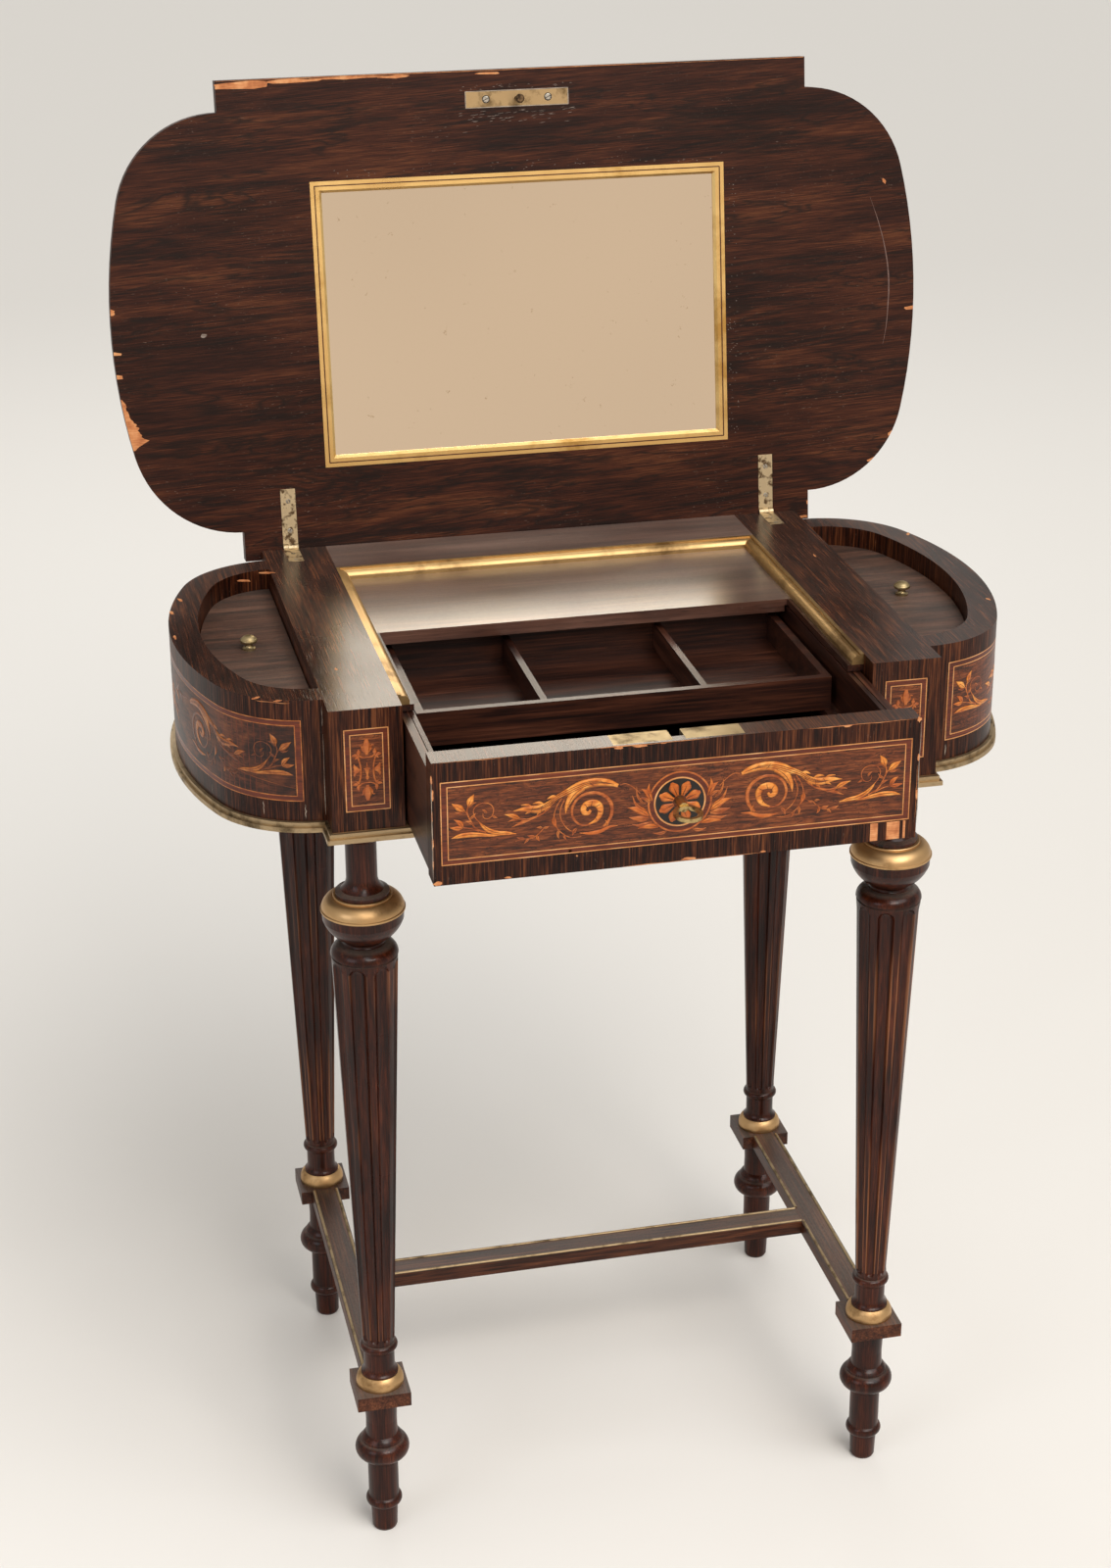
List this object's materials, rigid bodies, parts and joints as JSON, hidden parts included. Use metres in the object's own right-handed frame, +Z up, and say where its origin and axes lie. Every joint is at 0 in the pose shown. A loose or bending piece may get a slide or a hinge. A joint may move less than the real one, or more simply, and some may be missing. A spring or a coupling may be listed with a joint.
{
  "type": "dressing table",
  "caption": "Compact work and dressing table: drawer between D-shaped wells, hinged mirror lid, fluted tapering legs, H-stretcher, brass mouldings and scrolling marquetry.",
  "frame": {"origin": "on the floor, midway between the four feet", "axes": "+X to the table's right as seen from the front, +Y to its back, +Z up; the drawer opens towards -Y"},
  "size_m": [0.6598, 0.5576, 1.0787],
  "materials": {
    "leg_wood": "polished reddish rosewood",
    "case_wood": "polished rosewood veneer",
    "marquetry": "polished rosewood veneer inlaid with scrolls and light stringing",
    "inside_wood": "satin interior veneer",
    "brass": "aged polished brass",
    "mirror": "silvered plate glass",
    "steel": "worn steel"
  },
  "bodies": {
    "case": {"leg_front_left": "leg_wood", "leg_front_right": "leg_wood", "leg_back_left": "leg_wood", "leg_back_right": "leg_wood", "turned_feet": "leg_wood", "brass_leg_collars": "brass", "brass_leg_base_rings": "brass", "side_stretcher_left": "leg_wood", "side_stretcher_right": "leg_wood", "cross_stretcher": "leg_wood", "stretcher_brass_beads": "brass", "corner_post_front_left": "marquetry", "corner_post_front_right": "marquetry", "corner_post_back_left": "marquetry", "corner_post_back_right": "marquetry", "rim_strip_left": "case_wood", "rim_strip_right": "case_wood", "well_cheeks": "case_wood", "drawer_cheeks": "inside_wood", "end_wall_left": "marquetry", "end_wall_right": "marquetry", "well_floor_left": "case_wood", "well_floor_right": "case_wood", "cover_battens": "inside_wood", "case_bottom": "case_wood", "back_panel": "case_wood", "back_rail": "case_wood", "rear_deck": "inside_wood", "drawer_kickers": "inside_wood", "drawer_runners": "inside_wood", "base_moulding": "brass", "brass_deck_strips": "brass", "case_hinge_leaves": "brass", "hinge_pins": "steel"},
    "lid": {"lid_board": "case_wood", "mirror_glass": "mirror", "mirror_frame": "case_wood", "strike_plate": "brass", "strike_pin": "brass", "lid_hinge_leaves": "brass"},
    "drawer": {"drawer_front": "marquetry", "drawer_side_left": "inside_wood", "drawer_side_right": "inside_wood", "drawer_back": "inside_wood", "drawer_bottom": "inside_wood", "tray_ledges": "inside_wood", "lock_case": "brass", "lock_selvedge": "brass", "keyhole_ring": "brass"},
    "key": {"lock_key": "steel"},
    "bolt": {"lock_bolt": "brass"},
    "tray": {"tray_walls": "inside_wood", "tray_bottom": "inside_wood", "tray_dividers": "inside_wood"},
    "left_cover": {"well_cover_left": "case_wood", "cover_knob_left": "brass"},
    "right_cover": {"well_cover_right": "case_wood", "cover_knob_right": "brass"}
  },
  "joints": [
    {"name": "lid_hinge", "type": "hinge", "parent": "case", "child": "lid", "pos_m": [0, 0.1794, 0.7144], "axis": [-1, 0, 0], "range_deg": [-97.4, 0]},
    {"name": "drawer_slide", "type": "slide", "parent": "case", "child": "drawer", "axis": [0, -1, 0], "range_m": [-0.104, 0.06]},
    {"name": "lock_key_turn", "type": "hinge", "parent": "drawer", "child": "key", "pos_m": [0, -0.282, 0.668], "axis": [0, 1, 0], "range_deg": [0, 180]},
    {"name": "lock_bolt_slide", "type": "slide", "parent": "drawer", "child": "bolt", "axis": [1, 0, 0], "range_m": [0, 0.008]},
    {"name": "tray_slide", "type": "slide", "parent": "drawer", "child": "tray", "axis": [0, 1, 0], "range_m": [-0.1247, 0.0267]},
    {"name": "left_cover_lift", "type": "slide", "parent": "case", "child": "left_cover", "axis": [0, 0, 1], "range_m": [0, 0.1]},
    {"name": "right_cover_lift", "type": "slide", "parent": "case", "child": "right_cover", "axis": [0, 0, 1], "range_m": [0, 0.1]}
  ],
  "couplings": [
    {"joint": "lock_bolt_slide", "follows": "lock_key_turn", "m_per_rad": 0.0025465}
  ]
}
